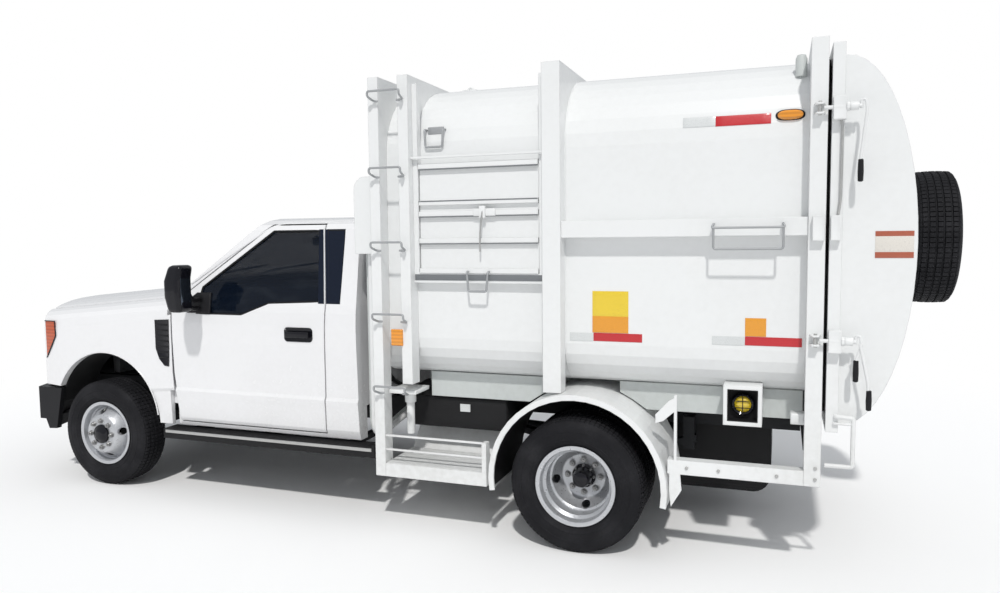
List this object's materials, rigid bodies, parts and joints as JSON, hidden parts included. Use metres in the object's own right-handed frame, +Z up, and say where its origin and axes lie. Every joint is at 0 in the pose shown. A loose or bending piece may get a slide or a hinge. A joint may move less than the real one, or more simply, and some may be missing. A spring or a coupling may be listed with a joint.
{
  "type": "side-loading garbage truck",
  "caption": "Side-loading garbage truck: a regular cab on a dual-rear-wheel chassis with a hooped steel load body, a side loading hatch and a bowed rear tailgate.",
  "frame": {"origin": "on the ground under the middle of the truck's overall box", "axes": "+X forwards, +Y to the driver's left, +Z up"},
  "size_m": [6.73, 2.58, 2.838],
  "materials": {
    "chassis_black": "satin black chassis paint",
    "engine_grey": "bare casting",
    "tank_black": "matt black moulded tank",
    "bare_steel": "zinc-plated steel",
    "tyre": "black rubber",
    "wheel_silver": "silver paint on steel",
    "black_plastic": "grained black moulding",
    "lamp_glass": "clear lamp lens",
    "cab_white": "gloss white paint",
    "body_white": "semi-gloss white paint",
    "subframe_grey": "light grey paint",
    "window_glass": "tinted window glass",
    "seat_cloth": "grey woven cloth"
  },
  "bodies": {
    "chassis": {"frame_rails": "chassis_black", "crossmembers": "chassis_black", "engine_block": "engine_grey", "driveshaft": "chassis_black", "leaf_springs": "chassis_black", "front_axle": "chassis_black", "rear_axle": "chassis_black", "fuel_tank": "tank_black", "front_bumper": "black_plastic", "grille": "black_plastic", "headlamps": "lamp_glass", "front_fenders": "cab_white", "cab_shell": "cab_white", "windshield": "window_glass", "cab_windows": "window_glass", "bench_seat": "seat_cloth", "dashboard": "black_plastic", "steering_wheel": "black_plastic", "running_boards": "black_plastic", "body_subframe": "subframe_grey", "load_body": "body_white", "body_hoops": "body_white", "side_rails": "body_white", "ladder": "bare_steel", "step_boxes": "body_white", "rear_fenders": "body_white", "hydraulic_tank": "body_white"},
    "left_knuckle": {"knuckle_left": "bare_steel"},
    "right_knuckle": {"knuckle_right": "bare_steel"},
    "front_left_wheel": {"front_tyre_left": "tyre", "front_rim_left": "wheel_silver"},
    "front_right_wheel": {"front_tyre_right": "tyre", "front_rim_right": "wheel_silver"},
    "rear_left_wheel": {"rear_tyres_left": "tyre", "rear_rims_left": "wheel_silver"},
    "rear_right_wheel": {"rear_tyres_right": "tyre", "rear_rims_right": "wheel_silver"},
    "left_door": {"door_left": "cab_white", "door_glass_left": "window_glass", "mirror_left": "black_plastic"},
    "right_door": {"door_right": "cab_white", "door_glass_right": "window_glass", "mirror_right": "black_plastic"},
    "bonnet": {"hood": "cab_white"},
    "rear_tailgate": {"tailgate": "body_white", "tailgate_clamps": "bare_steel", "spare_wheel": "tyre"},
    "left_hatch": {"hatch_left": "body_white"},
    "right_hatch": {"hatch_right": "body_white"}
  },
  "joints": [
    {"name": "left_steer", "type": "hinge", "parent": "chassis", "child": "left_knuckle", "pos_m": [2.395, 0.79, 0.4], "axis": [0, 0, 1], "range_deg": [-33, 33]},
    {"name": "right_steer", "type": "hinge", "parent": "chassis", "child": "right_knuckle", "pos_m": [2.395, -0.79, 0.4], "axis": [0, 0, 1], "range_deg": [-33, 33]},
    {"name": "front_left_spin", "type": "hinge", "parent": "left_knuckle", "child": "front_left_wheel", "pos_m": [2.395, 0.95, 0.4], "axis": [0, 1, 0], "continuous": true},
    {"name": "front_right_spin", "type": "hinge", "parent": "right_knuckle", "child": "front_right_wheel", "pos_m": [2.395, -0.95, 0.4], "axis": [0, 1, 0], "continuous": true},
    {"name": "rear_left_spin", "type": "hinge", "parent": "chassis", "child": "rear_left_wheel", "pos_m": [-1.295, 0.94, 0.4], "axis": [0, 1, 0], "continuous": true},
    {"name": "rear_right_spin", "type": "hinge", "parent": "chassis", "child": "rear_right_wheel", "pos_m": [-1.295, -0.94, 0.4], "axis": [0, 1, 0], "continuous": true},
    {"name": "left_door_hinge", "type": "hinge", "parent": "chassis", "child": "left_door", "pos_m": [1.713, 0.978, 1], "axis": [0, 0, -1], "range_deg": [0, 48]},
    {"name": "right_door_hinge", "type": "hinge", "parent": "chassis", "child": "right_door", "pos_m": [1.713, -0.978, 1], "axis": [0, 0, 1], "range_deg": [0, 48]},
    {"name": "bonnet_hinge", "type": "hinge", "parent": "chassis", "child": "bonnet", "pos_m": [1.869, 0, 1.506], "axis": [0, -1, 0], "range_deg": [0, 50]},
    {"name": "tailgate_hinge", "type": "hinge", "parent": "chassis", "child": "rear_tailgate", "pos_m": [-2.62, -1.19, 1.8], "axis": [0, 0, 1], "range_deg": [0, 100]},
    {"name": "left_hatch_slide", "type": "slide", "parent": "chassis", "child": "left_hatch", "axis": [0, 0, 1], "range_m": [0, 0.48]},
    {"name": "right_hatch_slide", "type": "slide", "parent": "chassis", "child": "right_hatch", "axis": [0, 0, 1], "range_m": [0, 0.48]}
  ],
  "couplings": [
    {"joint": "right_steer", "follows": "left_steer", "ratio": 1}
  ]
}
